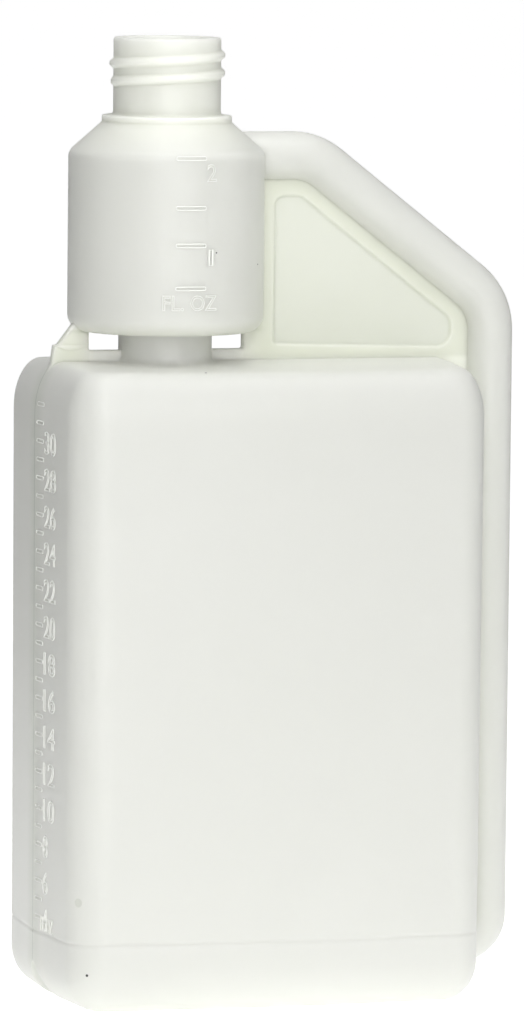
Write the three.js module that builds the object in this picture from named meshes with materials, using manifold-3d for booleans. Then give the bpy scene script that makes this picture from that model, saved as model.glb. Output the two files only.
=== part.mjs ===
import * as THREE from "three";
import { mergeVertices } from "three/addons/utils/BufferGeometryUtils.js";
import Module from "manifold-3d";

const wasm = await Module();
wasm.setup();

// Single-neck dosing bottle, in millimetres, +Z up, standing on Z = 0.
// X runs along the broad face, Y = 0 is the parting plane of the mould, the front face looks to -Y.
// Positions along X are measured from the axis of neck and chamber, and moved to the origin at the end.

// Walls.
const wall = 1.2;
const neckWall = 1.7;

// Reservoir.
const bodyCentreX = 20.65;
const bodyHalfWidth = 52.55;
const bodyHalfDepth = 34.3;
const bodyTaper = 0.45;
const bodyTop = 151.6;
const bodyCrown = 1.4;
const bodyCorner = 9.5;
const faceRadius = 450;
const sideDraft = 0.057;
const shoulderOut = 6.5;
const shoulderDown = 11;
const chimeIn = 8;
const chimeUp = 9.5;
const footWidth = 5;
const pushUp = 1.6;
const pushUpRun = 4;
const seamHeight = 16.5;
const seamDepth = 0.3;
const seamHalf = 0.35;

// Pinch notches in the chime, on the parting plane.
const notchTop = 10.5;
const notchReach = 12;
const notchHalf = 16;

// Round foot between the chamber and the reservoir.
const stubR = 11.1;
const stubFlare = 1.6;
const stubHeight = 7;

// Measuring chamber.
const chamberR = 23.25;
const chamberFloor = bodyTop + stubHeight;
const chamberHeight = 41.7;
const chamberEdge = chamberFloor + chamberHeight;
const chamberBottomR = 4;
const shoulderEdgeR = 3.2;
const coneHeight = 7.9;
const coneTop = chamberEdge + coneHeight;

// Neck, with a transfer bead and a single-start right-hand thread.
const beadR = 15.4;
const beadHeight = 1.6;
const beadTop = coneTop + beadHeight;
const neckR = 12.75;
const neckFillet = 1.0;
const neckHeight = 18.4;
const rimTop = beadTop + neckHeight;
const rimRound = 0.6;
const threadPitch = 4.233;
const threadHeight = 0.95;
const threadRootHalf = 1.25;
const threadCrestHalf = 0.45;
const threadSink = 0.5;
const threadStart = 150;
const threadEnd = 750;
const threadFade = 40;
const threadDrop = 10.3;
const threadLeftZ = rimTop - threadDrop;

// Ends of the reservoir on the parting plane.
const bodyLeft = bodyCentreX - bodyHalfWidth;
const bodyRight = bodyCentreX + bodyHalfWidth;

// Transfer tube, on the parting plane.
const tubeR = 5.75;
const tubeDrop = 0.25;
const tubeTopZ = chamberEdge - tubeDrop;
const tubeGap = 1.65;
const tubeSideX = bodyRight + tubeGap + tubeR;
const tubeRun = 12.45;
const tubeKneeX = chamberR + tubeRun;
const tubeElbowRise = 13.25;
const tubeElbowZ = bodyTop + tubeElbowRise;
const tubeBend = 14;
const tubeFootZ = 11;
const tubeFootBend = 6;
const tubeSink = 4.2;

// Distance from the neck axis to the middle of the overall width.
const originX = (bodyLeft + tubeSideX + tubeR) / 2;

// Pinched web round the chamber foot and behind the tube.
const webThick = 2.5;
const webSink = 5.6;
const webFoot = bodyTop - webSink;
const webFootX = bodyLeft + 3.5;
const windowInset = 4.15;
const windowX = chamberR - windowInset;
const stripHeight = 2.6;
const windowZ = bodyTop + stripHeight;
const sideStripBottom = 20;
const sideStripX = bodyRight - 2.2;
const finPoints = [
  [bodyLeft + 2.5, bodyTop - 2.6],
  [bodyLeft + 3.9, bodyTop - 0.2],
  [bodyLeft + 4.45, bodyTop + 3.9],
  [bodyLeft + 5.5, bodyTop + 4.1],
  [0.55 - chamberR, chamberFloor + 2],
  [2.25 - chamberR, chamberFloor + 4.9],
];

// Shallow recess in each face of the web.
const panelDepth = 0.6;
const panelSlope = 0.7;
const panelSideBand = 2.85;
const panelTopBand = 3.3;
const panelTubeBand = 2.9;
const panelFootBand = 3.2;
const panelFootDrop = 1.1;
const panelEndInset = 2;
const panelCorner = 2.6;

// Press-fit plug in the bore of the chamber foot.
const plugGap = 0.3;
const plugRimR = 10.6;
const plugRimThick = 1.3;
const plugWall = 1.1;
const plugDepth = 5.5;

// Facets.
const cornerSteps = 6;
const faceSteps = 4;
const roundSteps = 6;
const ringSteps = 48;
const tubeSteps = 18;
const bendSteps = 6;

// A closed solid from the positions of a geometry, with its faces turned outwards.
function solid(geometry) {
  const bare = new THREE.BufferGeometry();
  bare.setAttribute("position", geometry.getAttribute("position").clone());
  if (geometry.index) {
    bare.setIndex(Array.from(geometry.index.array));
  }
  const merged = mergeVertices(bare, 1e-4);
  const points = merged.getAttribute("position").array;
  const index = Array.from(merged.index.array);
  const faces = [];
  let volume = 0;
  const a = new THREE.Vector3();
  const b = new THREE.Vector3();
  const c = new THREE.Vector3();
  for (let i = 0; i < index.length; i += 3) {
    const [p, q, r] = [index[i], index[i + 1], index[i + 2]];
    if (p === q || q === r || r === p) {
      continue;
    }
    faces.push([p, q, r]);
    a.fromArray(points, 3 * p);
    b.fromArray(points, 3 * q);
    c.fromArray(points, 3 * r);
    volume += a.dot(b.cross(c)) / 6;
  }
  const turned = volume > 0 ? faces : faces.map(([p, q, r]) => [p, r, q]);
  const mesh = new wasm.Mesh({
    numProp: 3,
    vertProperties: new Float32Array(points),
    triVerts: new Uint32Array(turned.flat()),
  });
  return new wasm.Manifold(mesh);
}

// A skin over rings of equal length, closed by a fan at each end.
function loft(rings) {
  const count = rings[0].length;
  const points = rings.flat().flatMap((p) => [p.x, p.y, p.z]);
  const index = [];
  for (let k = 0; k + 1 < rings.length; k += 1) {
    for (let i = 0; i < count; i += 1) {
      const j = (i + 1) % count;
      const low = k * count;
      const high = low + count;
      index.push(low + i, low + j, high + j, low + i, high + j, high + i);
    }
  }
  const ends = [[0, false], [rings.length - 1, true]];
  for (const [k, isLast] of ends) {
    const middle = new THREE.Vector3();
    rings[k].forEach((p) => middle.add(p));
    middle.divideScalar(count);
    const hub = points.length / 3;
    points.push(middle.x, middle.y, middle.z);
    for (let i = 0; i < count; i += 1) {
      const j = (i + 1) % count;
      const here = k * count;
      if (isLast) {
        index.push(hub, here + i, here + j);
      } else {
        index.push(hub, here + j, here + i);
      }
    }
  }
  const geometry = new THREE.BufferGeometry();
  geometry.setAttribute("position", new THREE.Float32BufferAttribute(points, 3));
  geometry.setIndex(index);
  return solid(geometry);
}

// A turned solid from a profile of [radius, height] that starts and ends on the axis.
function turned(profile) {
  const points = profile.map(([r, z]) => new THREE.Vector2(r, z));
  const geometry = new THREE.LatheGeometry(points, ringSteps);
  geometry.rotateX(Math.PI / 2);
  return solid(geometry);
}

// Points of an arc of a profile, from one angle to another, in degrees.
function arc(centreR, centreZ, radiusR, radiusZ, from, to, steps) {
  const points = [];
  for (let i = 0; i <= steps; i += 1) {
    const t = THREE.MathUtils.degToRad(from + (to - from) * i / steps);
    points.push([centreR + radiusR * Math.cos(t), centreZ + radiusZ * Math.sin(t)]);
  }
  return points;
}

// One level of the reservoir: drafted sides, rounded corners and gently bowed broad faces.
function planRing(inset, z, ridge, crown) {
  const a = bodyHalfWidth - inset - bodyTaper * (1 - z / bodyTop);
  const b = bodyHalfDepth - inset;
  const corner = Math.max(bodyCorner - inset, 1.2);
  const bow = faceRadius - inset;
  const tilt = Math.atan(sideDraft);
  let cx = a - corner;
  let cy = b - corner;
  for (let i = 0; i < 30; i += 1) {
    cx = a - (corner + cy * Math.sin(tilt)) / Math.cos(tilt);
    cy = b - bow + Math.sqrt((bow - corner) ** 2 - cx ** 2);
  }
  const spread = Math.atan2(cx, cy - b + bow);
  const quarter = [[a, 0]];
  for (let i = 0; i <= cornerSteps; i += 1) {
    const t = tilt + (Math.PI / 2 - spread - tilt) * i / cornerSteps;
    quarter.push([cx + corner * Math.cos(t), cy + corner * Math.sin(t)]);
  }
  for (let i = 1; i < faceSteps; i += 1) {
    const t = spread * (1 - i / faceSteps);
    quarter.push([bow * Math.sin(t), b - bow + bow * Math.cos(t)]);
  }
  const half = [...quarter, [0, b], ...quarter.slice().reverse().map(([x, y]) => [-x, y])];
  const all = [...half, ...half.slice(1, -1).reverse().map(([x, y]) => [x, -y])];
  return all.map(([x, y]) => {
    const rise = crown * (1 - (y * ridge / bodyHalfDepth) ** 2);
    return new THREE.Vector3(bodyCentreX + x, y * ridge, z + rise);
  });
}

// The reservoir, grown inwards by a wall thickness for its hollow.
function reservoir(skin, hasSeam) {
  const rings = [];
  const low = chimeUp;
  const floor = skin;
  rings.push(planRing(chimeIn + footWidth + pushUpRun, floor + pushUp, 1, 0));
  rings.push(planRing(chimeIn + footWidth, floor, 1, 0));
  for (let i = 0; i <= roundSteps; i += 1) {
    const t = Math.PI / 2 * i / roundSteps;
    const inset = chimeIn - (chimeIn - skin) * Math.sin(t);
    rings.push(planRing(inset, low - (low - floor) * Math.cos(t), 1, 0));
  }
  if (hasSeam) {
    rings.push(planRing(skin, seamHeight - seamHalf, 1, 0));
    rings.push(planRing(skin + seamDepth, seamHeight, 1, 0));
    rings.push(planRing(skin, seamHeight + seamHalf, 1, 0));
  }
  const top = bodyTop - bodyCrown;
  const shoulder = top - shoulderDown;
  for (let i = 0; i <= roundSteps; i += 1) {
    const t = Math.PI / 2 * i / roundSteps;
    const inset = shoulderOut - (shoulderOut - skin) * Math.cos(t);
    rings.push(planRing(inset, shoulder + (shoulderDown - skin) * Math.sin(t), 1, bodyCrown * Math.sin(t)));
  }
  rings.push(planRing(shoulderOut, top - skin, 0.5, bodyCrown));
  rings.push(planRing(shoulderOut, top - skin, 0.03, bodyCrown));
  let shape = loft(rings);
  for (const side of [-1, 1]) {
    shape = shape.subtract(notch(side, skin));
  }
  return shape;
}

// A wedge under the end of the parting line, where the pinched sheet leaves a hollow in the chime.
function notch(side, skin) {
  const outX = bodyHalfWidth + 1;
  const grow = skin * 1.4;
  const apex = new THREE.Vector3(outX, 0, notchTop + grow);
  const inner = new THREE.Vector3(outX - notchReach - grow, 0, -1);
  const left = new THREE.Vector3(outX, -notchHalf - grow, -1);
  const right = new THREE.Vector3(outX, notchHalf + grow, -1);
  const corners = [apex, inner, left, right];
  const points = corners.flatMap((p) => [bodyCentreX + side * p.x, p.y, p.z]);
  const geometry = new THREE.BufferGeometry();
  geometry.setAttribute("position", new THREE.Float32BufferAttribute(points, 3));
  geometry.setIndex([0, 1, 2, 0, 3, 1, 0, 2, 3, 1, 3, 2]);
  return solid(geometry);
}

// Chamber, cone, bead and neck outside.
function chamberOutside() {
  const foot = bodyTop - 2;
  const round = chamberBottomR;
  const edge = shoulderEdgeR;
  return turned([
    [0, foot],
    [stubR + stubFlare, foot],
    [stubR + stubFlare, bodyTop - 0.4],
    ...arc(stubR + stubFlare, bodyTop + stubFlare - 0.3, stubFlare, stubFlare, 270, 180, 3),
    [stubR, chamberFloor],
    ...arc(chamberR - round, chamberFloor + round, round, round, 270, 360, 5),
    ...arc(chamberR - edge, chamberEdge - edge * 0.42, edge, edge, 0, 45, 4),
    [beadR, coneTop],
    [beadR, beadTop - 0.4],
    [beadR - 0.4, beadTop],
    ...arc(neckR + neckFillet, beadTop + neckFillet, neckFillet, neckFillet, 270, 180, 3),
    ...arc(neckR - rimRound, rimTop - rimRound, rimRound, rimRound, 0, 90, 3),
    [0, rimTop],
  ]);
}

// Hollow of the chamber foot, chamber, cone and neck.
function chamberInside() {
  const round = chamberBottomR - wall;
  const floor = chamberFloor + wall;
  return turned([
    [0, bodyTop - 6],
    [stubR - wall, bodyTop - 6],
    [stubR - wall, floor],
    ...arc(chamberR - wall - round, floor + round, round, round, 270, 360, 4),
    [chamberR - wall, chamberEdge - 0.6],
    [neckR - neckWall + 1.1, coneTop - 0.8],
    [neckR - neckWall, beadTop],
    [neckR - neckWall, rimTop - 0.5],
    [neckR - neckWall + 0.4, rimTop + 1],
    [0, rimTop + 1],
  ]);
}

// Rings of a round tube along a line that stays on the parting plane.
function tubeRings(corners, radii, radius) {
  const line = [];
  for (let k = 0; k < corners.length; k += 1) {
    const here = new THREE.Vector2(...corners[k]);
    if (k === 0 || k === corners.length - 1) {
      line.push(here);
      continue;
    }
    const before = new THREE.Vector2(...corners[k - 1]).sub(here).normalize();
    const after = new THREE.Vector2(...corners[k + 1]).sub(here).normalize();
    const half = Math.acos(before.dot(after)) / 2;
    const reach = radii[k] / Math.tan(half);
    const middle = before.clone().add(after).normalize().multiplyScalar(radii[k] / Math.sin(half)).add(here);
    const from = here.clone().addScaledVector(before, reach).sub(middle);
    const to = here.clone().addScaledVector(after, reach).sub(middle);
    const turn = Math.atan2(from.cross(to), from.dot(to));
    for (let i = 0; i <= bendSteps; i += 1) {
      const step = from.clone().rotateAround(new THREE.Vector2(), turn * i / bendSteps);
      line.push(step.add(middle));
    }
  }
  return line.map((p, k) => {
    const last = line[Math.max(k - 1, 0)];
    const next = line[Math.min(k + 1, line.length - 1)];
    const along = next.clone().sub(last).normalize();
    const ring = [];
    for (let i = 0; i < tubeSteps; i += 1) {
      const t = 2 * Math.PI * i / tubeSteps;
      const off = radius * Math.cos(t);
      ring.push(new THREE.Vector3(p.x - along.y * off, radius * Math.sin(t), p.y + along.x * off));
    }
    return ring;
  });
}

const tubeCorners = [
  [chamberR - tubeSink - wall, tubeTopZ],
  [tubeKneeX, tubeTopZ],
  [tubeSideX, tubeElbowZ],
  [tubeSideX, tubeFootZ],
  [bodyRight - tubeSink, tubeFootZ],
];
const tubeRadii = [0, tubeBend, tubeBend, tubeFootBend, 0];

// A plate that stands on the parting plane, from an outline of [x, z].
function plate(outline, thickness, bevel) {
  const shape = new THREE.Shape(outline.map(([x, z]) => new THREE.Vector2(x, z)));
  const geometry = new THREE.ExtrudeGeometry(shape, {
    depth: thickness,
    bevelEnabled: bevel > 0,
    bevelThickness: bevel,
    bevelSize: bevel,
    bevelOffset: -bevel,
    bevelSegments: 1,
    steps: 1,
  });
  geometry.translate(0, 0, -thickness / 2);
  geometry.rotateX(Math.PI / 2);
  return geometry;
}

// Outline with every corner rounded.
function rounded(corners, radius, steps) {
  const out = [];
  const count = corners.length;
  for (let k = 0; k < count; k += 1) {
    const here = new THREE.Vector2(...corners[k]);
    const before = new THREE.Vector2(...corners[(k + count - 1) % count]).sub(here).normalize();
    const after = new THREE.Vector2(...corners[(k + 1) % count]).sub(here).normalize();
    const half = Math.acos(before.dot(after)) / 2;
    const middle = before.clone().add(after).normalize().multiplyScalar(radius / Math.sin(half)).add(here);
    const from = here.clone().addScaledVector(before, radius / Math.tan(half)).sub(middle);
    const to = here.clone().addScaledVector(after, radius / Math.tan(half)).sub(middle);
    const turn = Math.atan2(from.cross(to), from.dot(to));
    for (let i = 0; i <= steps; i += 1) {
      const p = from.clone().rotateAround(new THREE.Vector2(), turn * i / steps).add(middle);
      out.push([p.x, p.y]);
    }
  }
  return out;
}

// The pinched web: fin, strip under the windows, sheet behind the tube and strip down the side.
function web() {
  const sheet = solid(plate([
    ...finPoints,
    [-windowX, finPoints.at(-1)[1]],
    [-windowX, windowZ],
    [windowX, windowZ],
    [windowX, tubeTopZ],
    [tubeKneeX, tubeTopZ],
    [tubeSideX, tubeElbowZ],
    [tubeSideX, sideStripBottom],
    [sideStripX, sideStripBottom],
    [sideStripX, webFoot],
    [webFootX, webFoot],
  ], webThick, 0));
  const slope = (tubeElbowZ - tubeTopZ) / (tubeSideX - tubeKneeX);
  const away = (tubeR + panelTubeBand) * Math.sqrt(1 + slope ** 2);
  const edgeZ = (x) => tubeTopZ + slope * (x - tubeKneeX) - away;
  const left = chamberR + panelSideBand;
  const right = bodyRight - panelEndInset;
  const top = tubeTopZ - tubeR - panelTopBand;
  const panel = rounded([
    [left, bodyTop + panelFootBand],
    [right, bodyTop + panelFootBand - panelFootDrop],
    [right, edgeZ(right)],
    [tubeKneeX + (top - edgeZ(tubeKneeX)) / slope, top],
    [left, top],
  ], panelCorner, 4);
  let shape = sheet;
  for (const side of [-1, 1]) {
    const pocket = plate(panel, 2 * panelSlope, panelSlope);
    pocket.translate(0, side * (webThick / 2 - panelDepth + 2 * panelSlope), 0);
    shape = shape.subtract(solid(pocket));
  }
  return shape;
}

// The raised thread: a ridge that climbs round the neck and fades in and out.
function thread() {
  const rings = [];
  const stepAngle = 12;
  for (let angle = threadStart; angle <= threadEnd; angle += stepAngle) {
    const t = THREE.MathUtils.degToRad(angle);
    const fade = Math.min(1, (angle - threadStart) / threadFade, (threadEnd - angle) / threadFade);
    const rise = threadHeight * Math.max(fade, 0.06);
    const z = threadLeftZ + threadPitch * (angle - 180) / 360;
    const profile = [
      [-threadSink, -threadRootHalf],
      [0, -threadRootHalf],
      [rise * 0.8, -threadCrestHalf - 0.2],
      [rise, -threadCrestHalf],
      [rise, threadCrestHalf],
      [rise * 0.8, threadCrestHalf + 0.2],
      [0, threadRootHalf],
      [-threadSink, threadRootHalf],
    ];
    rings.push(profile.map(([r, dz]) => {
      return new THREE.Vector3((neckR + r) * Math.cos(t), (neckR + r) * Math.sin(t), z + dz);
    }));
  }
  return loft(rings);
}

// The blown bottle: all outsides joined, then all hollows taken away.
function bottle() {
  const tubeLine = tubeRings(tubeCorners, tubeRadii, tubeR);
  const boreLine = tubeRings(tubeCorners, tubeRadii, tubeR - wall);
  const outside = reservoir(0, true).add(chamberOutside()).add(web()).add(loft(tubeLine)).add(thread());
  const inside = reservoir(wall, false).add(chamberInside()).add(loft(boreLine));
  return outside.subtract(inside);
}

// The plug: a cupped stopper that is pushed down through the neck into the chamber foot.
function plug() {
  const seat = chamberFloor + wall + plugGap;
  const skirtR = stubR - wall - plugGap;
  return turned([
    [0, seat],
    [skirtR - plugWall, seat],
    [skirtR - plugWall, seat - plugDepth],
    [skirtR - 0.3, seat - plugDepth],
    [skirtR, seat - plugDepth + 0.8],
    [skirtR, seat],
    [plugRimR, seat],
    [plugRimR, seat + plugRimThick - 0.3],
    [plugRimR - 0.3, seat + plugRimThick],
    [0, seat + plugRimThick],
  ]);
}

function meshOf(shape, name, slot, material) {
  const result = shape.getMesh();
  const geometry = new THREE.BufferGeometry();
  geometry.setAttribute("position", new THREE.BufferAttribute(new Float32Array(result.vertProperties), 3));
  geometry.setIndex(new THREE.BufferAttribute(new Uint32Array(result.triVerts), 1));
  geometry.translate(-originX, 0, 0);
  geometry.computeVertexNormals();
  const mesh = new THREE.Mesh(geometry, material);
  mesh.name = name;
  mesh.userData.slot = slot;
  return mesh;
}

const polyethylene = new THREE.MeshStandardMaterial({ name: "natural_polyethylene", color: 0xecefe6, roughness: 0.45 });
const plugPlastic = new THREE.MeshStandardMaterial({ name: "plug_polyethylene", color: 0xf2f2ec, roughness: 0.4 });

const group = new THREE.Group();
group.name = "dosing_bottle";
group.add(meshOf(bottle(), "bottle", "natural_polyethylene", polyethylene));
group.add(meshOf(plug(), "chamber_plug", "plug_polyethylene", plugPlastic));

export default group;
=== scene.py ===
import math

import bmesh
import bpy
import numpy as np
from mathutils import Matrix, Vector


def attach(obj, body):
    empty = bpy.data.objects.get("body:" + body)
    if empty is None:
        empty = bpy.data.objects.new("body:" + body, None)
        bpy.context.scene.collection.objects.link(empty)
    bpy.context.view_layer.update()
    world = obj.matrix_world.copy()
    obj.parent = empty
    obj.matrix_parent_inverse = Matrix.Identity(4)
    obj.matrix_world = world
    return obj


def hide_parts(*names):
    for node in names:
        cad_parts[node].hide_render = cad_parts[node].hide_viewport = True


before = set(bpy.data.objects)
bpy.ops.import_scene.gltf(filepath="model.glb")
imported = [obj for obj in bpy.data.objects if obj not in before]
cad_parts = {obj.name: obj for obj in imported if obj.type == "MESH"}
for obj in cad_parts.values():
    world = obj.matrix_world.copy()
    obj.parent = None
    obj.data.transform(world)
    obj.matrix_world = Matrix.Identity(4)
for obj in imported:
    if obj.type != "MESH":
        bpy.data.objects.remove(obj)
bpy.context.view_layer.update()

MM = 0.001

# Sizes in millimetres, X from the neck axis, Z from the floor
NECK_AXIS = -27.225
WALL, NECK_WALL = 1.2, 1.7

# Reservoir
BODY_CENTRE, BODY_HALF_WIDTH, BODY_HALF_DEPTH = 20.65, 52.55, 34.3
BODY_TAPER, BODY_TOP, BODY_CROWN, BODY_CORNER = 0.45, 151.6, 1.4, 9.5
LEAST_CORNER = 1.2
FACE_RADIUS, SIDE_DRAFT = 450.0, 0.057
SHOULDER_OUT, SHOULDER_DOWN = 6.5, 11.0
SHOULDER_START = BODY_TOP - BODY_CROWN - SHOULDER_DOWN
CHIME_IN, CHIME_UP = 8.0, 9.5
FOOT_WIDTH, PUSH_UP, PUSH_UP_RUN = 5.0, 1.6, 4.0
SEAM_HEIGHT, SEAM_DEPTH, SEAM_HALF = 16.5, 0.13, 0.4
SEAM_PROFILE = ((-2, 0), (-1, 0), (-0.4, 0.8), (0, 1), (0.4, 0.8), (1, 0), (2, 0))
TOP_ROWS = (0.85, 0.7, 0.55, 0.4, 0.25, 0.1, 0.02)
NOTCH_TOP, NOTCH_REACH, NOTCH_HALF = 10.5, 12.0, 16.0
NOTCH_WALL_FACTOR = 1.4

# Measuring chamber, cone, bead and neck
CHAMBER_R, CHAMBER_FLOOR, CHAMBER_EDGE, CHAMBER_BOTTOM_R = 23.25, 158.6, 201.1, 4.0
SHOULDER_EDGE_R, CONE_TOP_R, CONE_TOP = 3.0, 15.4, 208.2
SHOULDER_EDGE_Z = CHAMBER_EDGE - SHOULDER_EDGE_R * 0.42
STUB_R, STUB_FLARE, STUB_FILLET = 11.1, 1.6, 0.6
BEAD_R, BEAD_TOP, BEAD_ROUND = 15.4, 209.8, 0.4
NECK_R, NECK_FILLET = 12.75, 1.0
RIM_TOP, RIM_ROUND = 228.2, 0.6

# Screw thread, with its start, end, fade and step in degrees round the neck
THREAD_PITCH, THREAD_HEIGHT, THREAD_ROOT, THREAD_CREST = 4.233, 0.95, 1.25, 0.45
THREAD_START, THREAD_END, THREAD_FADE, THREAD_STEP = 150, 750, 40.0, 4
THREAD_LEFT_Z, THREAD_SUNK, THREAD_LEAST = 217.9, 0.5, 0.06

# Transfer tube and the pinched sheet behind it
TUBE_R, TUBE_TOP_Z, TUBE_SIDE_X, TUBE_KNEE_X, TUBE_ELBOW_Z = 5.75, 200.05, 80.6, 35.7, 164.85
TUBE_BEND, TUBE_FOOT_Z, TUBE_FOOT_BEND = 14.0, 11.0, 6.0
TUBE_START_X, TUBE_END_X = 17, 69
TUBE_SLOPE = (TUBE_ELBOW_Z - TUBE_TOP_Z) / (TUBE_SIDE_X - TUBE_KNEE_X)
WEB_THICK, WEB_FOOT_Z = 2.5, 20
WINDOW_EDGE_X, WINDOW_FLOOR_Z, WINDOW_ROUND = 19.1, 154.2, 0.5
PANEL_LEFT, PANEL_RIGHT, PANEL_TOP, PANEL_BORDER = 26.1, 71.2, 191, 2.9
CREASE_LEFT, CREASE_RIGHT, CREASE_Z, CREASE_SAG, CREASE_PROUD = -27.3, -19.6, 155.5, 1.1, 0.2

# Graduations
MARK_LINE, BAR_HEIGHT = 0.12, 0.85
SIDE_LOW_MARK, SIDE_TOP_MARK, SIDE_TOP_NUMBER = 4, 32, 30
SIDE_NUMBER_Z, SIDE_PITCH = 133.2, 4.35
SIDE_BAR, SIDE_BAR_START, SIDE_NUMBER_START = 4.9, 1.8, 7.5
TWO_DIGITS, ONE_DIGIT, SIDE_DIGIT_HEIGHT, SIDE_DIGIT_DROP = 8.4, 3.6, 5.5, 2.9
CHAMBER_MARKS = (170.05, 180.15, 188.95, 200.6)
CHAMBER_BAR, CHAMBER_BAR_START = 7.3, -4.1

# Colours and small places on the plastic, with each speck's radius last
# The foot colour is painted light: the chamber foot, in shade under the chamber, is painted near
# white
BODY_TINT, BODY_DEPTH, FOOT_PAINTED_LIGHT = (0.795, 0.81, 0.725), 5.0, (0.97, 0.97, 0.90)
# The sheet colour darkens the pinched sheet and fin; the panel colour is painted shade in the
# sheet's recess
SHEET_TINT, PANEL_RECESS_SHADE = (0.86, 0.865, 0.85), (0.97, 0.975, 0.975)
# Painted shade: a wide soft darkening and a darker narrow line along the parting plane on the flank
PARTING_VALLEY_SHADE, PARTING_LINE_SHADE = (0.86, 0.88, 0.86), (0.74, 0.76, 0.74)
VENT_TINT, SPECK_TINT = (0.84, 0.85, 0.83), (0.03, 0.03, 0.03)
VENT_SPOT = (-28.24, -28.65, 26.5)
SPECKS = ((-26.47, -30.38, 9.5, 0.32), (2.05, -27.75, 150.67, 0.32),
          (5.94, -22.48, 178.45, 0.18), (18.62, -13.93, 175.07, 0.18))

# Studio, in metres and watts
AZIMUTH, ELEVATION, ROLL, DISTANCE = math.radians(-16.7), math.radians(5.3), 0.0095, 2.05
FOCAL_PIXELS, PICTURE_HEIGHT, SENSOR = 8600, 1024, 36
FLOOR_HALF, FLOOR_TONE, FLOOR_GLOW = 60.0, 0.62, 0.76
PAPER_EDGE, PAPER_END, PAPER_SPREAD = 0.12, 0.5, 0.045
SKY_FRONT, SKY_SIDE = 0.56, 0.0
KEY_WATTS, FILL_WATTS, TOP_WATTS = 4.95, 0.4, 5.6
LIGHT_TARGET, LIGHT_SPREAD = (0, 0, 0.11), math.radians(125)


def mesh_piece(name, points, faces):
    """A mesh object from points in millimetres, measured from the neck axis."""
    mesh = bpy.data.meshes.new(name)
    place = [((x + NECK_AXIS) * MM, y * MM, z * MM) for x, y, z in points]
    mesh.from_pydata(place, [], faces)
    mesh.validate()
    piece = bpy.data.objects.new(name, mesh)
    bpy.context.scene.collection.objects.link(piece)
    turn_outwards(mesh)
    return piece


def turn_outwards(mesh):
    """Merges doubled points and turns every face outwards."""
    build = bmesh.new()
    build.from_mesh(mesh)
    bmesh.ops.remove_doubles(build, verts=build.verts, dist=1e-7)
    bmesh.ops.recalc_face_normals(build, faces=build.faces)
    build.to_mesh(mesh)
    build.free()


def loft(name, rings):
    """A closed skin over rings of equal length, with a fan at each end."""
    count = len(rings[0])
    points = [tuple(p) for ring in rings for p in ring]
    faces = []
    for k in range(len(rings) - 1):
        low, high = k * count, (k + 1) * count
        for i in range(count):
            j = (i + 1) % count
            faces.append((low + i, low + j, high + j, high + i))
    for k in (0, len(rings) - 1):
        hub = len(points)
        points.append(tuple(np.mean(np.array(rings[k]), axis=0)))
        for i in range(count):
            faces.append((k * count + i, k * count + (i + 1) % count, hub))
    return mesh_piece(name, points, faces)


def turned(name, profile, steps):
    """A turned solid from a profile of (radius, height) that starts and ends on the axis."""
    rings = []
    for r, z in profile[1:-1]:
        angles = [2 * math.pi * i / steps for i in range(steps)]
        rings.append([(r * math.cos(t), r * math.sin(t), z) for t in angles])
    return loft(name, rings)


def arc(centre_r, centre_z, radius_r, radius_z, start, end, steps):
    """Points of a profile on an arc, between two angles in degrees."""
    out = []
    for i in range(steps + 1):
        t = math.radians(start + (end - start) * i / steps)
        out.append((centre_r + radius_r * math.cos(t), centre_z + radius_z * math.sin(t)))
    return out


def plan_ring(inset, z, ridge, crown, corner_steps, face_steps):
    """One level of the reservoir: drafted sides, rounded corners and bowed broad faces."""
    a = BODY_HALF_WIDTH - inset - BODY_TAPER * (1 - z / BODY_TOP)
    b = BODY_HALF_DEPTH - inset
    corner = max(BODY_CORNER - inset, LEAST_CORNER)
    bow = FACE_RADIUS - inset
    tilt = math.atan(SIDE_DRAFT)
    cy = b - corner
    for _ in range(30):
        cx = a - (corner + cy * math.sin(tilt)) / math.cos(tilt)
        cy = b - bow + math.sqrt((bow - corner) ** 2 - cx ** 2)
    spread = math.atan2(cx, cy - b + bow)
    side_steps = max(2, corner_steps // 4)
    corner_x = cx + corner * math.cos(tilt)
    corner_y = cy + corner * math.sin(tilt)
    quarter = []
    for i in range(side_steps):
        k = i / side_steps
        quarter.append((a + (corner_x - a) * k, corner_y * k))
    for i in range(corner_steps + 1):
        t = tilt + (math.pi / 2 - spread - tilt) * i / corner_steps
        quarter.append((cx + corner * math.cos(t), cy + corner * math.sin(t)))
    for i in range(1, face_steps):
        t = spread * (1 - i / face_steps)
        quarter.append((bow * math.sin(t), b - bow + bow * math.cos(t)))
    half = quarter + [(0, b)] + [(-x, y) for x, y in reversed(quarter)]
    whole = half + [(x, -y) for x, y in reversed(half[1:-1])]
    return [(BODY_CENTRE + x, y * ridge, z + crown * (1 - (y * ridge / BODY_HALF_DEPTH) ** 2))
            for x, y in whole]


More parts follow.
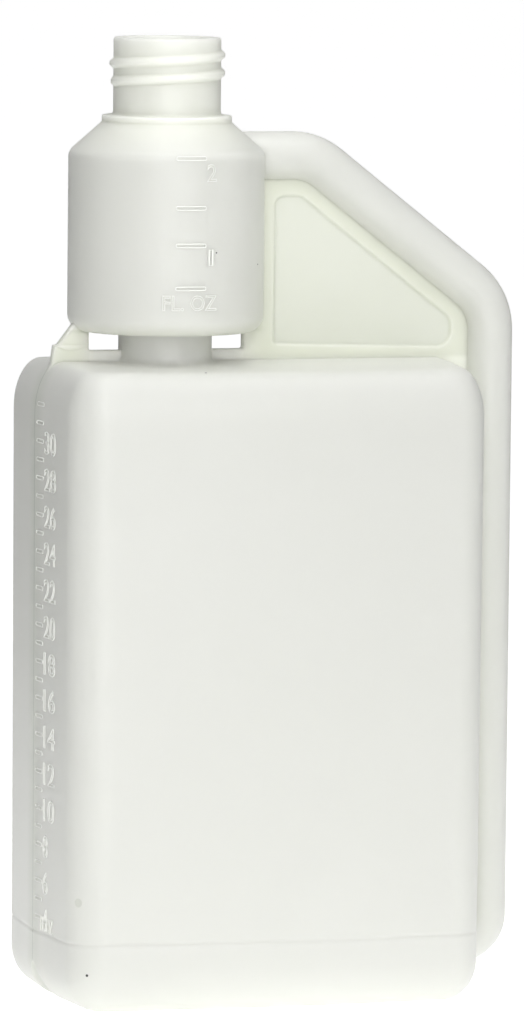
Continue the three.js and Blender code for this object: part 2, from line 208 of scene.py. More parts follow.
def reservoir(name, skin, has_seam, corner_steps, face_steps, round_steps):
    """The reservoir, or its hollow when skin is the wall thickness."""
    rings = []

    def add(inset, z, ridge=1.0, crown=0.0):
        rings.append(plan_ring(inset, z, ridge, crown, corner_steps, face_steps))

    for i in range(5):
        t = i / 4
        rise = PUSH_UP * (1 - t) ** 2 * (1 + 2 * t)
        add(CHIME_IN + FOOT_WIDTH + PUSH_UP_RUN * (1 - t), skin + rise)
    for i in range(round_steps + 1):
        t = math.pi / 2 * i / round_steps
        inset = CHIME_IN - (CHIME_IN - skin) * math.sin(t)
        add(inset, CHIME_UP - (CHIME_UP - skin) * math.cos(t))
    if has_seam:
        for dz, dip in SEAM_PROFILE:
            add(skin + SEAM_DEPTH * dip, SEAM_HEIGHT + SEAM_HALF * dz)
    levels = 8
    wall_foot = SEAM_HEIGHT + SEAM_HALF
    for i in range(1, levels):
        add(skin, wall_foot + (SHOULDER_START - wall_foot) * i / levels)
    for i in range(round_steps + 1):
        t = math.pi / 2 * i / round_steps
        inset = SHOULDER_OUT - (SHOULDER_OUT - skin) * math.cos(t)
        z = SHOULDER_START + (SHOULDER_DOWN - skin) * math.sin(t)
        add(inset, z, 1.0, BODY_CROWN * math.sin(t))
    for ridge in TOP_ROWS:
        add(SHOULDER_OUT, BODY_TOP - BODY_CROWN - skin, ridge, BODY_CROWN)
    return loft(name, rings)


def notch(side, skin):
    """The wedge that the pinched sheet leaves under the end of the parting line."""
    out = BODY_HALF_WIDTH + 1
    grow = skin * NOTCH_WALL_FACTOR
    corners = [
        (out, 0, NOTCH_TOP + grow),
        (out - NOTCH_REACH - grow, 0, -1),
        (out, -NOTCH_HALF - grow, -1),
        (out, NOTCH_HALF + grow, -1),
    ]
    points = [(BODY_CENTRE + side * x, y, z) for x, y, z in corners]
    return mesh_piece("notch", points, [(0, 1, 2), (0, 3, 1), (0, 2, 3), (1, 3, 2)])


def chamber_outside(steps):
    """Chamber foot, chamber, cone, bead and neck."""
    foot = BODY_TOP - 2
    flare = STUB_R + STUB_FLARE
    bottom, edge, fillet = CHAMBER_BOTTOM_R, SHOULDER_EDGE_R, STUB_FILLET
    return turned("chamber", [
        (0, foot),
        (flare, foot),
        (flare, BODY_TOP - 0.4),
        *arc(flare, BODY_TOP + STUB_FLARE - 0.3, STUB_FLARE, STUB_FLARE, 270, 180, 8),
        (STUB_R, CHAMBER_FLOOR - fillet),
        *arc(STUB_R + fillet, CHAMBER_FLOOR - fillet, fillet, fillet, 180, 90, 4),
        *arc(CHAMBER_R - bottom, CHAMBER_FLOOR + bottom, bottom, bottom, 270, 360, 14),
        *arc(CHAMBER_R - edge, SHOULDER_EDGE_Z, edge, edge, 0, 45, 10),
        (CONE_TOP_R, CONE_TOP),
        *arc(BEAD_R - BEAD_ROUND, BEAD_TOP - BEAD_ROUND, BEAD_ROUND, BEAD_ROUND, 0, 90, 4),
        *arc(NECK_R + NECK_FILLET, BEAD_TOP + NECK_FILLET, NECK_FILLET, NECK_FILLET, 270, 180, 6),
        *arc(NECK_R - RIM_ROUND, RIM_TOP - RIM_ROUND, RIM_ROUND, RIM_ROUND, 0, 90, 6),
        (0, RIM_TOP),
    ], steps)


def chamber_inside(steps):
    """Hollow of the chamber foot, chamber, cone and neck."""
    bottom = CHAMBER_BOTTOM_R - WALL
    floor = CHAMBER_FLOOR + WALL
    bore = NECK_R - NECK_WALL
    return turned("chamber_hollow", [
        (0, BODY_TOP - 6),
        (STUB_R - WALL, BODY_TOP - 6),
        (STUB_R - WALL, floor),
        *arc(CHAMBER_R - WALL - bottom, floor + bottom, bottom, bottom, 270, 360, 8),
        (CHAMBER_R - WALL, CHAMBER_EDGE - 0.6),
        (bore + 1.1, CONE_TOP - 0.8),
        (bore, BEAD_TOP),
        (bore, RIM_TOP - 0.6),
        (bore + 0.25, RIM_TOP - 0.2),
        (bore + 0.6, RIM_TOP),
        (bore + 0.6, RIM_TOP + 1),
        (0, RIM_TOP + 1),
    ], steps)


def rounded_corner(before, here, after, radius, steps):
    """Points of the arc that rounds one corner of a path."""
    here = np.array(here, float)
    back, on = np.array(before) - here, np.array(after) - here
    back, on = back / np.linalg.norm(back), on / np.linalg.norm(on)
    half = math.acos(back @ on) / 2
    middle = here + (back + on) / np.linalg.norm(back + on) * radius / math.sin(half)
    first = here + back * radius / math.tan(half) - middle
    last = here + on * radius / math.tan(half) - middle
    turn = math.atan2(first[0] * last[1] - first[1] * last[0], first @ last)
    points = []
    for i in range(steps + 1):
        t = turn * i / steps
        spin = np.array([[math.cos(t), -math.sin(t)], [math.sin(t), math.cos(t)]])
        points.append(middle + spin @ first)
    return points


def tube_line(bend_steps):
    """Centre line of the transfer tube, as (x, z) on the parting plane."""
    corners = [
        (TUBE_START_X, TUBE_TOP_Z), (TUBE_KNEE_X, TUBE_TOP_Z), (TUBE_SIDE_X, TUBE_ELBOW_Z),
        (TUBE_SIDE_X, TUBE_FOOT_Z), (TUBE_END_X, TUBE_FOOT_Z),
    ]
    line = [np.array(corners[0], float)]
    for k, radius in enumerate((TUBE_BEND, TUBE_BEND, TUBE_FOOT_BEND)):
        line += rounded_corner(*corners[k:k + 3], radius, bend_steps)
    line.append(np.array(corners[-1], float))
    return line


def tube(name, radius, steps, bend_steps):
    """The transfer tube, or its bore."""
    line = tube_line(bend_steps)
    rings = []
    for k, p in enumerate(line):
        along = line[min(k + 1, len(line) - 1)] - line[max(k - 1, 0)]
        along = along / np.linalg.norm(along)
        ring = []
        for i in range(steps):
            t = 2 * math.pi * i / steps
            off = radius * math.cos(t)
            ring.append((p[0] - along[1] * off, radius * math.sin(t), p[1] + along[0] * off))
        rings.append(ring)
    return loft(name, rings)


def rounded(corners, radii, steps):
    """An outline of (x, z) with its corners rounded, each by its own radius."""
    out = []
    for k, (here, radius) in enumerate(zip(corners, radii)):
        if radius == 0:
            out.append(here)
            continue
        after = corners[(k + 1) % len(corners)]
        out += [tuple(p) for p in rounded_corner(corners[k - 1], here, after, radius, steps)]
    return out


def plate(name, outline, half_thick):
    """A plate of even thickness, centred on the parting plane."""
    build = bmesh.new()
    face = build.faces.new([build.verts.new((x, -half_thick, z)) for x, z in outline])
    grown = bmesh.ops.extrude_face_region(build, geom=[face])
    for v in grown["geom"]:
        if isinstance(v, bmesh.types.BMVert):
            v.co.y = half_thick
    build.verts.index_update()
    points = [tuple(v.co) for v in build.verts]
    faces = [tuple(v.index for v in f.verts) for f in build.faces]
    build.free()
    return mesh_piece(name, points, faces)


def join(target, tool, operation):
    """Applies an exact boolean to target and drops the tool."""
    cut = target.modifiers.new("join", "BOOLEAN")
    cut.operation = operation
    cut.solver = "EXACT"
    cut.object = tool
    depsgraph = bpy.context.evaluated_depsgraph_get()
    result = bpy.data.meshes.new_from_object(target.evaluated_get(depsgraph))
    target.modifiers.clear()
    old = target.data
    target.data = result
    bpy.data.meshes.remove(old)
    bpy.data.objects.remove(tool)
    return target


def web():
    """Fin, strip under the windows, sheet behind the tube and strip down the side."""
    fin = [(-29.4, 149, 0), (-28, 151.4, 0), (-27.45, 155.5, 0.4), (-26.4, 155.7, 0.4),
           (-22.7, 160.6, 0), (-21, 163.5, 0), (-WINDOW_EDGE_X, 163.5, 0)]
    windows = [(-WINDOW_EDGE_X, WINDOW_FLOOR_Z, WINDOW_ROUND),
               (WINDOW_EDGE_X, WINDOW_FLOOR_Z, WINDOW_ROUND), (WINDOW_EDGE_X, TUBE_TOP_Z, 0)]
    under_tube = [(TUBE_KNEE_X, TUBE_TOP_Z, 0), (TUBE_SIDE_X, TUBE_ELBOW_Z, 0),
                  (TUBE_SIDE_X, WEB_FOOT_Z, 0)]
    in_reservoir = [(71, WEB_FOOT_Z, 0), (71, 146, 0), (-28.4, 146, 0)]
    edge = fin + windows + under_tube + in_reservoir
    outline = rounded([(x, z) for x, z, _ in edge], [radius for _, _, radius in edge], 3)
    sheet = plate("web", outline, WEB_THICK / 2)
    away = (TUBE_R + PANEL_BORDER) * math.sqrt(1 + TUBE_SLOPE ** 2)

    def panel_edge_z(x):
        return TUBE_TOP_Z + TUBE_SLOPE * (x - TUBE_KNEE_X) - away

    top_x = TUBE_KNEE_X + (PANEL_TOP - panel_edge_z(TUBE_KNEE_X)) / TUBE_SLOPE
    panel = rounded(
        [(PANEL_LEFT, 154.8), (PANEL_RIGHT, 153.7), (PANEL_RIGHT, panel_edge_z(PANEL_RIGHT)),
         (top_x, PANEL_TOP), (PANEL_LEFT, PANEL_TOP)],
        [1.2, 4.0, 4.0, 3, 3], 6)
    for side in (-1, 1):
        join(sheet, pocket_form(panel, side), "DIFFERENCE")
    crease = [(CREASE_LEFT, CREASE_Z), (CREASE_RIGHT, CREASE_Z)]
    for i in range(1, 12):
        x = CREASE_RIGHT + (CREASE_LEFT - CREASE_RIGHT) * i / 12
        crease.append((x, CREASE_Z - CREASE_SAG * math.sin(math.pi * i / 12)))
    join(sheet, plate("crease", crease, WEB_THICK / 2 + CREASE_PROUD), "UNION")
    return sheet


def pocket_form(outline, side):
    """The shallow recess of the sheet, with sloped sides."""
    middle = np.mean(np.array(outline), axis=0)
    face = WEB_THICK / 2
    rings = []
    for depth, shrink in ((1.0, -0.6), (-0.6, 0.7)):
        ring = []
        for k, (x, z) in enumerate(outline):
            before = np.array(outline[k - 1])
            after = np.array(outline[(k + 1) % len(outline)])
            along = (after - before) / np.linalg.norm(after - before)
            inward = np.array([-along[1], along[0]])
            if inward @ (middle - np.array([x, z])) < 0:
                inward = -inward
            ring.append((x + inward[0] * shrink, side * (face + depth), z + inward[1] * shrink))
        rings.append(ring)
    return loft("pocket", rings)


def neck_thread():
    """The raised right-hand thread, which fades in and out."""
    rings = []
    crest = THREAD_CREST
    for angle in range(THREAD_START, THREAD_END + 1, THREAD_STEP):
        t = math.radians(angle)
        fade = min(1.0, (angle - THREAD_START) / THREAD_FADE, (THREAD_END - angle) / THREAD_FADE)
        rise = THREAD_HEIGHT * max(math.sin(fade * math.pi / 2), THREAD_LEAST)
        z = THREAD_LEFT_Z + THREAD_PITCH * (angle - 180) / 360
        lower = [(-THREAD_SUNK, -THREAD_ROOT), (0, -THREAD_ROOT), (rise * 0.35, -crest - 0.55),
                 (rise * 0.8, -crest - 0.18), (rise, -crest + 0.1)]
        profile = lower + [(r, -dz) for r, dz in reversed(lower)]
        rings.append([((NECK_R + r) * math.cos(t), (NECK_R + r) * math.sin(t), z + dz)
                      for r, dz in profile])
    return loft("thread", rings)


def blown_bottle():
    """The bottle: all outsides joined, then all hollows taken away."""
    shell = reservoir("bottle_shell", 0.0, True, 14, 14, 16)
    for side in (-1, 1):
        join(shell, notch(side, 0.0), "DIFFERENCE")
    for part in (web(), tube("tube", TUBE_R, 56, 20), chamber_outside(160), neck_thread()):
        join(shell, part, "UNION")
    hollow = reservoir("hollow", WALL, False, 8, 8, 8)
    for side in (-1, 1):
        join(hollow, notch(side, WALL), "DIFFERENCE")
    for part in (tube("bore", TUBE_R - WALL, 28, 10), chamber_inside(96)):
        join(hollow, part, "UNION")
    return join(shell, hollow, "DIFFERENCE")


def math_node(nodes, links, operation, *values):
    """A Math node with its inputs linked or set."""
    node = nodes.new("ShaderNodeMath")
    node.operation = operation
    for k, value in enumerate(values):
        if isinstance(value, (int, float)):
            node.inputs[k].default_value = value
        else:
            links.new(value, node.inputs[k])
    return node.outputs[0]


def spot_mask(nodes, links, place, centre, radius, edge):
    """1 inside a small round spot on the surface, 0 outside, with a soft edge."""
    reach = nodes.new("ShaderNodeVectorMath")
    reach.operation = "DISTANCE"
    links.new(place, reach.inputs[0])
    x, y, z = centre
    reach.inputs[1].default_value = ((x + NECK_AXIS) * MM, y * MM, z * MM)
    outer, inner = (radius + edge) * MM, (radius - edge) * MM
    return step_mask(nodes, links, reach.outputs["Value"], outer, inner)


def step_mask(nodes, links, value, low, high):
    """0 at low and 1 at high, smooth between them."""
    step = nodes.new("ShaderNodeMapRange")
    step.interpolation_type = "SMOOTHSTEP"
    links.new(value, step.inputs["Value"])
    step.inputs["From Min"].default_value = min(low, high)
    step.inputs["From Max"].default_value = max(low, high)
    step.inputs["To Min"].default_value = 0.0 if low < high else 1.0
    step.inputs["To Max"].default_value = 1.0 if low < high else 0.0
    return step.outputs["Result"]


def tinted(nodes, links, base, mask, colour, kind="MULTIPLY"):
    """Lays a colour over another where a mask is 1."""
    mix = nodes.new("ShaderNodeMix")
    mix.data_type = "RGBA"
    mix.blend_type = kind
    links.new(mask, mix.inputs["Factor"])
    links.new(base, mix.inputs[6])
    mix.inputs[7].default_value = (*colour, 1)
    return mix.outputs[2]


def all_of(nodes, links, *masks):
    """The product of several masks."""
    whole = masks[0]
    for mask in masks[1:]:
        whole = math_node(nodes, links, "MULTIPLY", whole, mask)
    return whole


def sheet_colour(nodes, links, parts, off_plane, colour):
    """The pinched sheet behind the tube and the fin are solid and thicker than the blown walls, and
    are painted darker; painted shade darkens the sheet's recessed panel.
    """
    x = math_node(nodes, links, "SUBTRACT", parts.outputs["X"], NECK_AXIS * MM)
    z = parts.outputs["Z"]

    def ramp(value, low, high):
        return step_mask(nodes, links, value, low * MM, high * MM)

    run = math_node(nodes, links, "MULTIPLY", x, TUBE_SLOPE)
    rise = math_node(nodes, links, "ADD", run, (TUBE_TOP_Z - TUBE_SLOPE * TUBE_KNEE_X) * MM)
    under_slope = math_node(nodes, links, "SUBTRACT", rise, z)
    reach = (TUBE_R - 0.4) * math.sqrt(1 + TUBE_SLOPE ** 2)
    tube_under, tube_left = TUBE_TOP_Z - TUBE_R, TUBE_SIDE_X - TUBE_R
    thin = ramp(off_plane, 1.5, 1.3)
    sheet = all_of(
        nodes, links, thin,
        ramp(z, 151.0, 152.5),
        ramp(z, tube_under + 0.6, tube_under + 0.2),
        ramp(under_slope, reach, reach + 0.5),
        ramp(x, tube_left + 0.6, tube_left + 0.2),
        ramp(x, 19.0, 19.2))
    fin = all_of(
        nodes, links, thin,
        ramp(z, 150.4, 151.4),
        ramp(z, 159.4, 158.8),
        ramp(x, -18.6, -19.2))
    sheet_or_fin = math_node(nodes, links, "MAXIMUM", sheet, fin)
    colour = tinted(nodes, links, colour, sheet_or_fin, SHEET_TINT)
    # Painted shade in the sheet's recessed panel
    recess = all_of(nodes, links, ramp(off_plane, 1.05, 0.8), sheet)
    return tinted(nodes, links, colour, recess, PANEL_RECESS_SHADE)


def bottle_colour(nodes, links, place, colour):
    """Painted shade along the parting line, the vent-like spot, specks, the pinched sheet's tones
    with painted shade in its panel, and painted light on the chamber foot.
    """
    parts = nodes.new("ShaderNodeSeparateXYZ")
    links.new(place, parts.inputs["Vector"])
    off_plane = math_node(nodes, links, "ABSOLUTE", parts.outputs["Y"])
    on_flank = step_mask(nodes, links, parts.outputs["X"], -54.5 * MM, -57.5 * MM)
    above_foot = step_mask(nodes, links, parts.outputs["Z"], 0.0, 4 * MM)
    flank = all_of(nodes, links, on_flank, above_foot)
    # Painted shade along the parting plane on the flank: a wide soft band, then a darker narrow
    # line
    for tint, low, high in ((PARTING_VALLEY_SHADE, 7.5, 0.0), (PARTING_LINE_SHADE, 0.42, 0.08)):
        near = step_mask(nodes, links, off_plane, low * MM, high * MM)
        colour = tinted(nodes, links, colour, all_of(nodes, links, near, flank), tint)
    vent = spot_mask(nodes, links, place, VENT_SPOT, 1.05, 0.2)
    colour = tinted(nodes, links, colour, vent, VENT_TINT)
    for x, y, z, size in SPECKS:
        speck = spot_mask(nodes, links, place, (x, y, z), size, size / 4)
        colour = tinted(nodes, links, colour, speck, SPECK_TINT)
    colour = sheet_colour(nodes, links, parts, off_plane, colour)
    # Painted light: the chamber foot under the chamber is mixed to near white where it lies in
    # shade
    near_foot = spot_mask(nodes, links, place, (0, 0, 154.5), 20, 6)
    under_chamber = step_mask(nodes, links, parts.outputs["Z"], 158.8 * MM, 158.0 * MM)
    foot = all_of(nodes, links, near_foot, under_chamber)
    return tinted(nodes, links, colour, foot, FOOT_PAINTED_LIGHT, "MIX")


def polyethylene(name, tint, depth, scatter, is_bottle=False):
    """Natural blow-moulded polyethylene: milky, softly glossy, with faint flow marks."""
    material = bpy.data.materials.new(name)
    material.use_nodes = True
    nodes, links = material.node_tree.nodes, material.node_tree.links
    shader = nodes["Principled BSDF"]
    place = nodes.new("ShaderNodeTexCoord").outputs["Object"]
    cloud = nodes.new("ShaderNodeTexNoise")
    cloud.inputs["Scale"].default_value = 18.0
    cloud.inputs["Detail"].default_value = 3.0
    links.new(place, cloud.inputs["Vector"])
    ramp = nodes.new("ShaderNodeValToRGB")
    ramp.color_ramp.elements[0].position = 0.35
    ramp.color_ramp.elements[0].color = (*[c * 0.98 for c in tint], 1)
    ramp.color_ramp.elements[1].position = 0.65
    ramp.color_ramp.elements[1].color = (*tint, 1)
    links.new(cloud.outputs["Fac"], ramp.inputs["Fac"])
    colour = ramp.outputs["Color"]
    if is_bottle:
        colour = bottle_colour(nodes, links, place, colour)
    links.new(colour, shader.inputs["Base Color"])
    grain = nodes.new("ShaderNodeTexNoise")
    grain.inputs["Scale"].default_value = 900.0
    grain.inputs["Detail"].default_value = 4.0
    links.new(place, grain.inputs["Vector"])
    rough = nodes.new("ShaderNodeMapRange")
    rough.inputs["To Min"].default_value = 0.33
    rough.inputs["To Max"].default_value = 0.42
    links.new(grain.outputs["Fac"], rough.inputs["Value"])
    links.new(rough.outputs["Result"], shader.inputs["Roughness"])
    bump = nodes.new("ShaderNodeBump")
    bump.inputs["Strength"].default_value = 0.04
    bump.inputs["Distance"].default_value = 0.2 * MM
    links.new(grain.outputs["Fac"], bump.inputs["Height"])
    if is_bottle:
        soft = nodes.new("ShaderNodeBevel")
        soft.samples = 6
        soft.inputs["Radius"].default_value = 0.9 * MM
        links.new(soft.outputs["Normal"], bump.inputs["Normal"])
    links.new(bump.outputs["Normal"], shader.inputs["Normal"])
    shader.inputs["IOR"].default_value = 1.5
    shader.inputs["Subsurface Weight"].default_value = scatter
    shader.inputs["Subsurface Scale"].default_value = depth * MM
    shader.inputs["Subsurface Radius"].default_value = (1.0, 1.0, 1.0)
    return material


def smooth(piece, degrees):
    """Smooth shading, kept sharp where faces meet at more than an angle."""
    mesh = piece.data
    mesh.shade_smooth()
    mesh.set_sharp_from_angle(angle=math.radians(degrees))


def bar_tree():
    """Geometry Nodes for a column of bars, each drawn by a fine raised line round it."""
    tree = bpy.data.node_groups.new("graduation_bars", "GeometryNodeTree")
    sizes = (("Count", "NodeSocketInt", 1), ("Pitch", "NodeSocketFloat", SIDE_PITCH),
             ("Length", "NodeSocketFloat", CHAMBER_BAR), ("Height", "NodeSocketFloat", BAR_HEIGHT),
             ("Line", "NodeSocketFloat", MARK_LINE))
    for label, kind, value in sizes:
        socket = tree.interface.new_socket(name=label, in_out="INPUT", socket_type=kind)
        socket.default_value = value
    tree.interface.new_socket(name="Finish", in_out="INPUT", socket_type="NodeSocketMaterial")
    tree.interface.new_socket(name="Geometry", in_out="OUTPUT", socket_type="NodeSocketGeometry")
    new, link = tree.nodes.new, tree.links.new
    given, out = new("NodeGroupInput"), new("NodeGroupOutput")
    box = new("GeometryNodeCurvePrimitiveQuadrilateral")
    link(given.outputs["Length"], box.inputs["Width"])
    link(given.outputs["Height"], box.inputs["Height"])
    ends = new("GeometryNodeFilletCurve")
    ends.mode = "POLY"
    link(box.outputs["Curve"], ends.inputs["Curve"])
    ends.inputs["Count"].default_value = 3
    ends.inputs["Radius"].default_value = 0.35
    fine = new("GeometryNodeSubdivideCurve")
    link(ends.outputs["Curve"], fine.inputs["Curve"])
    fine.inputs["Cuts"].default_value = 3
    upright = new("GeometryNodeTransform")
    link(fine.outputs["Curve"], upright.inputs["Geometry"])
    upright.inputs["Rotation"].default_value = (math.pi / 2, 0, 0)
    ring = new("GeometryNodeCurvePrimitiveCircle")
    ring.inputs["Resolution"].default_value = 8
    link(given.outputs["Line"], ring.inputs["Radius"])
    bar = new("GeometryNodeCurveToMesh")
    link(upright.outputs["Geometry"], bar.inputs["Curve"])
    link(ring.outputs["Curve"], bar.inputs["Profile Curve"])
    step = new("ShaderNodeCombineXYZ")
    link(given.outputs["Pitch"], step.inputs["Z"])
    row = new("GeometryNodeMeshLine")
    link(given.outputs["Count"], row.inputs["Count"])
    link(step.outputs[0], row.inputs["Offset"])
    spread = new("GeometryNodeInstanceOnPoints")
    link(row.outputs["Mesh"], spread.inputs["Points"])
    link(bar.outputs["Mesh"], spread.inputs["Instance"])
    real = new("GeometryNodeRealizeInstances")
    link(spread.outputs["Instances"], real.inputs["Geometry"])
    coat = new("GeometryNodeSetMaterial")
    link(real.outputs["Geometry"], coat.inputs["Geometry"])
    link(given.outputs["Finish"], coat.inputs["Material"])
    link(coat.outputs["Geometry"], out.inputs["Geometry"])
    return tree


def bars(tree, finish, count, pitch, length):
    """A column of bars as points and faces: along X from 0, up in Z, their middle on Y = 0."""
    blank = bpy.data.objects.new("bars", bpy.data.meshes.new("bars"))
    bpy.context.scene.collection.objects.link(blank)
    grow = blank.modifiers.new("bars", "NODES")
    grow.node_group = tree
    values = {"Count": count, "Pitch": float(pitch), "Length": length, "Height": BAR_HEIGHT,
              "Line": MARK_LINE, "Finish": finish}
    for socket in tree.interface.items_tree:
        if socket.in_out == "INPUT":
            grow[socket.identifier] = values[socket.name]
    points, faces = taken_mesh(blank)
    points[:, 0] += length / 2
    return points, faces


def lettering(text, width, height):
    """Characters drawn by a fine raised outline, as points and faces, fitted to a given size."""
    letters = bpy.data.curves.new("lettering", "FONT")
    letters.body = text
    letters.resolution_u = 4
    letters.fill_mode = "NONE"
    letters.bevel_depth = 0.02
    letters.bevel_resolution = 1
    piece = bpy.data.objects.new("lettering", letters)
    bpy.context.scene.collection.objects.link(piece)
    points, faces = taken_mesh(piece)
    low, high = points.min(axis=0), points.max(axis=0)
    fitted = np.empty_like(points)
    fitted[:, 0] = (points[:, 0] - low[0]) / (high[0] - low[0]) * width
    fitted[:, 2] = (points[:, 1] - low[1]) / (high[1] - low[1]) * height
    fitted[:, 1] = points[:, 2] / high[2] * MARK_LINE
    return fitted, faces


def taken_mesh(piece):
    """Triangulated points and faces of an evaluated object, which is then removed."""
    depsgraph = bpy.context.evaluated_depsgraph_get()
    result = bpy.data.meshes.new_from_object(piece.evaluated_get(depsgraph))
    build = bmesh.new()
    build.from_mesh(result)
    bmesh.ops.remove_doubles(build, verts=build.verts, dist=1e-5)
    bmesh.ops.triangulate(build, faces=build.faces)
    build.verts.index_update()
    points = np.array([tuple(v.co) for v in build.verts])
    faces = [tuple(v.index for v in f.verts) for f in build.faces]
    build.free()
    bpy.data.objects.remove(piece)
    bpy.data.meshes.remove(result)
    return points, faces


def on_side(points, across, up):
    """Lays flat marks on the narrow side: across runs from the parting line to the front."""
    out = []
    for x, y, z in points:
        reach, height = x + across, z + up
        lift = max(0.0, height - SHOULDER_START) / SHOULDER_DOWN
        inset = SHOULDER_OUT * (1 - math.sqrt(1 - lift ** 2))
        taper = BODY_TAPER * (1 - height / BODY_TOP)
        half = BODY_HALF_WIDTH - taper - inset - SIDE_DRAFT * reach
        out.append((BODY_CENTRE - half - y, -reach, height))
    return out


def on_chamber(points, across, up):
    """Wraps flat marks round the front of the measuring chamber."""
    out = []
    for x, y, z in points:
        turn, height = (x + across) / CHAMBER_R, z + up
        over = max(0.0, height - SHOULDER_EDGE_Z)
        radius = CHAMBER_R - SHOULDER_EDGE_R + math.sqrt(SHOULDER_EDGE_R ** 2 - over ** 2) + y
        out.append((radius * math.sin(turn), -radius * math.cos(turn), height))
    return out


def graduations(finish):
    """Both scales: fluid ounces up the narrow side and on the chamber."""
    tree = bar_tree()
    points, faces = [], []

    def add(part, lay, across, up):
        start = len(points)
        points.extend(lay(part[0], across, up))
        faces.extend(tuple(start + i for i in face) for face in part[1])

    def side_z(amount):
        return SIDE_NUMBER_Z - (SIDE_TOP_NUMBER - amount) * SIDE_PITCH

    count = SIDE_TOP_MARK - SIDE_LOW_MARK + 1
    column = bars(tree, finish, count, SIDE_PITCH, SIDE_BAR)
    add(column, on_side, SIDE_BAR_START, side_z(SIDE_LOW_MARK))
    for amount in range(SIDE_LOW_MARK, SIDE_TOP_NUMBER + 1, 2):
        number = lettering(str(amount), TWO_DIGITS if amount > 9 else ONE_DIGIT, SIDE_DIGIT_HEIGHT)
        add(number, on_side, SIDE_NUMBER_START, side_z(amount) - SIDE_DIGIT_DROP)
    add(lettering("FL. OZ", 9.0, 3.6), on_side, 6.0, 17.0)
    for height in CHAMBER_MARKS:
        add(bars(tree, finish, 1, 0, CHAMBER_BAR), on_chamber, CHAMBER_BAR_START, height)
    add(lettering("2", 2.5, 4.2), on_chamber, 3.4, 195.1)
    add(lettering("1", 1.3, 3.8), on_chamber, 3.9, 175.4)
    add(lettering("FL. OZ", 13.4, 3.7), on_chamber, -7.2, 164.8)
    piece = mesh_piece("graduations", points, faces)
    smooth(piece, 40)
    piece.data.materials.append(finish)
    return piece


def area_light(name, place, size, watts):
    """A soft rectangular light that faces the bottle."""
    light = bpy.data.lights.new(name, "AREA")
    light.shape = "RECTANGLE"
    light.size, light.size_y = size
    light.spread = LIGHT_SPREAD
    light.energy = watts
    lamp = bpy.data.objects.new(name, light)
    lamp.location = place
    aim = Vector(LIGHT_TARGET) - Vector(place)
    lamp.rotation_euler = aim.to_track_quat("-Z", "Y").to_euler()
    bpy.context.scene.collection.objects.link(lamp)


def studio_floor():
    """A pale floor with a glowing strip, like white paper, under the bottle that runs out behind
    it; its glow lights the bottle from below.
    """
    mesh = bpy.data.meshes.new("studio_floor")
    corners = [(x * FLOOR_HALF, y * FLOOR_HALF, 0) for x, y in ((-1, -1), (1, -1), (1, 1), (-1, 1))]
    mesh.from_pydata(corners, [], [(0, 1, 2, 3)])
    floor = bpy.data.objects.new("studio_floor", mesh)
    bpy.context.scene.collection.objects.link(floor)
    paint = bpy.data.materials.new("floor_paint")
    paint.use_nodes = True
    nodes, links = paint.node_tree.nodes, paint.node_tree.links
    coat = nodes["Principled BSDF"]
    coat.inputs["Base Color"].default_value = (FLOOR_TONE, FLOOR_TONE, FLOOR_TONE, 1)
    coat.inputs["Roughness"].default_value = 0.9
    coat.inputs["Emission Color"].default_value = (1, 1, 1, 1)
    place = nodes.new("ShaderNodeTexCoord").outputs["Object"]

    def distance(way):
        node = nodes.new("ShaderNodeVectorMath")
        node.operation = "DOT_PRODUCT"
        links.new(place, node.inputs[0])
        node.inputs[1].default_value = way
        return node.outputs["Value"]

    behind = distance((-math.sin(AZIMUTH), math.cos(AZIMUTH), 0))
    across = distance((math.cos(AZIMUTH), math.sin(AZIMUTH), 0))
    behind = math_node(nodes, links, "MAXIMUM", behind, 0.0)
    widening = math_node(nodes, links, "MULTIPLY", behind, PAPER_SPREAD)
    away = math_node(nodes, links, "ABSOLUTE", across)
    # The strip glows: its emission shows it white and lights the bottle from below
    paper = nodes.new("ShaderNodeMapRange")
    paper.interpolation_type = "SMOOTHSTEP"
    links.new(math_node(nodes, links, "SUBTRACT", away, widening), paper.inputs["Value"])
    paper.inputs["From Min"].default_value = PAPER_EDGE
    paper.inputs["From Max"].default_value = PAPER_END
    paper.inputs["To Min"].default_value = FLOOR_GLOW
    paper.inputs["To Max"].default_value = 0.0
    links.new(paper.outputs["Result"], coat.inputs["Emission Strength"])
    mesh.materials.append(paint)


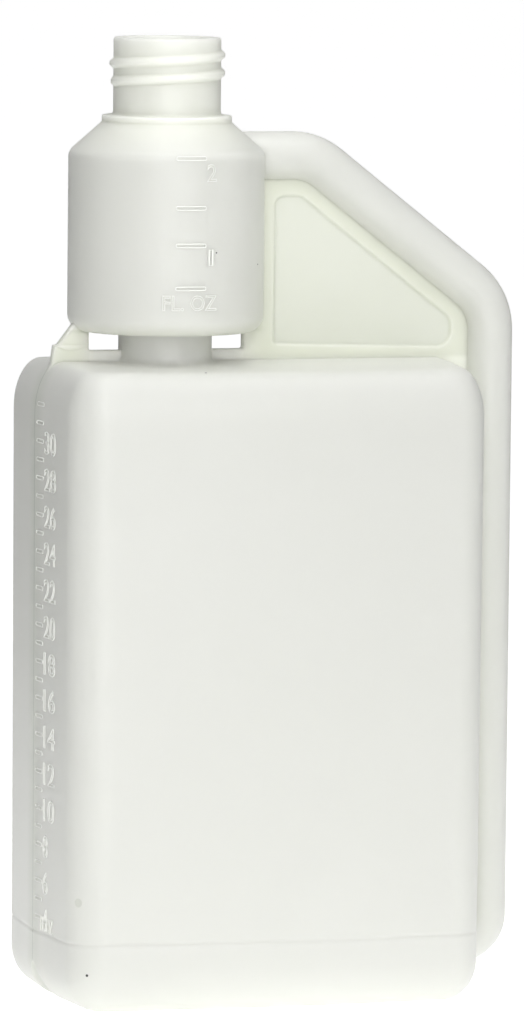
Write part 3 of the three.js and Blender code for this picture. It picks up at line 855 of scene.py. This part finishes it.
def studio():
    """The floor, a surround that is pale in front and dark at the sides, and soft lights."""
    studio_floor()
    world = bpy.data.worlds.new("studio")
    world.use_nodes = True
    nodes, links = world.node_tree.nodes, world.node_tree.links
    sky = nodes["Background"]
    way = nodes.new("ShaderNodeTexCoord")
    parts = nodes.new("ShaderNodeSeparateXYZ")
    links.new(way.outputs["Generated"], parts.inputs["Vector"])
    side = math_node(nodes, links, "ABSOLUTE", parts.outputs["X"])
    fall = nodes.new("ShaderNodeValToRGB")
    for k, (position, tone) in enumerate(((0.3, SKY_FRONT), (0.8, SKY_SIDE))):
        fall.color_ramp.elements[k].position = position
        fall.color_ramp.elements[k].color = (tone, tone, tone, 1)
    links.new(side, fall.inputs["Fac"])
    links.new(fall.outputs["Color"], sky.inputs["Color"])
    sky.inputs["Strength"].default_value = 1.0
    bpy.context.scene.world = world
    bpy.context.scene.view_settings.view_transform = "Standard"
    area_light("key", (-0.22, -1.4, 0.52), (1.2, 1.1), KEY_WATTS)
    area_light("left_fill", (-1.3, -0.1, 0.35), (0.8, 0.6), FILL_WATTS)
    area_light("top", (0.0, -0.45, 1.3), (1.2, 1.2), TOP_WATTS)


def camera():
    """The photograph's view: a long lens from the front left, a little above."""
    target = Vector((-2.8 * MM, 0, 115 * MM))
    back = Vector((math.sin(AZIMUTH) * math.cos(ELEVATION),
                   -math.cos(AZIMUTH) * math.cos(ELEVATION), math.sin(ELEVATION)))
    right = Vector((math.cos(AZIMUTH), math.sin(AZIMUTH), 0))
    up = back.cross(right)
    right, up = (right + up * ROLL).normalized(), (up - right * ROLL).normalized()
    lens = bpy.data.cameras.new("camera")
    lens.lens = FOCAL_PIXELS / PICTURE_HEIGHT * SENSOR
    lens.sensor_width = SENSOR
    eye = bpy.data.objects.new("camera", lens)
    turn = Matrix((right, up, back)).transposed().to_4x4()
    eye.matrix_world = Matrix.Translation(target + back * DISTANCE) @ turn
    bpy.context.scene.collection.objects.link(eye)
    bpy.context.scene.camera = eye


camera()
studio()
milky = polyethylene("natural_polyethylene", BODY_TINT, BODY_DEPTH, 1.0, True)
plug_plastic = polyethylene("plug_polyethylene", (0.92, 0.92, 0.89), 2.0, 0.6)
# The raised marks are real relief, but their lighter, non-scattering plastic is a painted highlight
# for the light their edges catch
marks_highlight_plastic = polyethylene("raised_edges_painted_highlight", (0.90, 0.91, 0.86), 1.0, 0.0)

shell = blown_bottle()
smooth(shell, 32)
shell.data.materials.clear()
shell.data.materials.append(milky)
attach(shell, "root")
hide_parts("bottle")

marks = graduations(marks_highlight_plastic)
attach(marks, "root")

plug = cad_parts["chamber_plug"]
plug.data.materials.clear()
plug.data.materials.append(plug_plastic)
